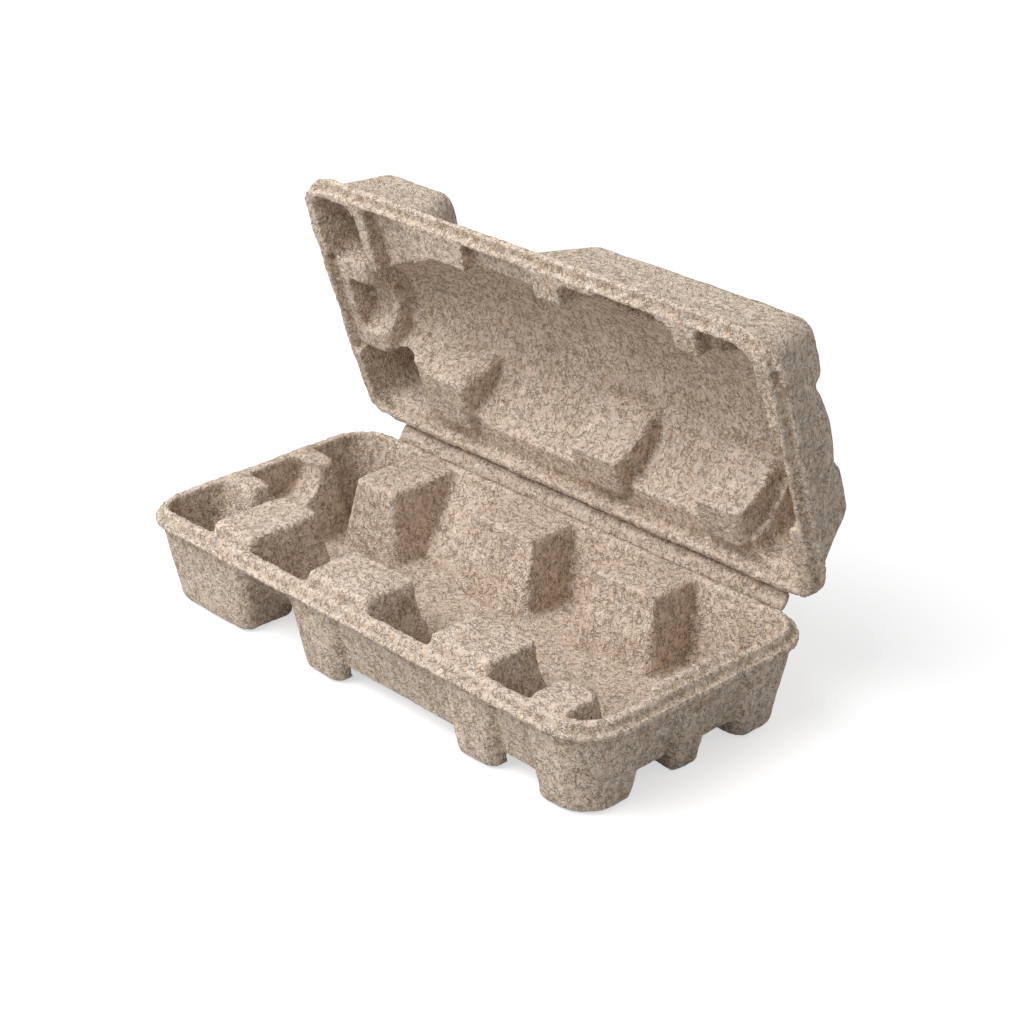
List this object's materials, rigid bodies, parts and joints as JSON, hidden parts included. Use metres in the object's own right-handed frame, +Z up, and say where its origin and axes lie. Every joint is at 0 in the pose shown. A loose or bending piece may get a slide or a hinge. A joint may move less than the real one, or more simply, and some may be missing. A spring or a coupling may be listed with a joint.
{
  "type": "pulp bottle shipper insert",
  "caption": "Moulded pulp clamshell with feet, raised side blocks and neck saddle, which holds one bottle lying down; its lid swings on a double crease.",
  "frame": {"origin": "centre of the bounding box's underside, on the floor, with the lid open as pictured", "axes": "+X along the length towards the body end, +Y to the hinge side, +Z up"},
  "size_m": [0.33, 0.1972, 0.2066],
  "materials": {
    "pulp": "matt"
  },
  "bodies": {
    "tray": {"base_tray": "pulp"},
    "strip": {"hinge_strip": "pulp"},
    "lid": {"lid": "pulp"}
  },
  "joints": [
    {"name": "tray_crease", "type": "hinge", "parent": "tray", "child": "strip", "pos_m": [0, 0.05967, 0.0478], "axis": [-1, 0, 0], "range_deg": [-36, 54]},
    {"name": "lid_crease", "type": "hinge", "parent": "strip", "child": "lid", "pos_m": [0, 0.06484, 0.05492], "axis": [-1, 0, 0], "range_deg": [-36, 54]}
  ],
  "couplings": [
    {"joint": "lid_crease", "follows": "tray_crease", "ratio": 1}
  ]
}
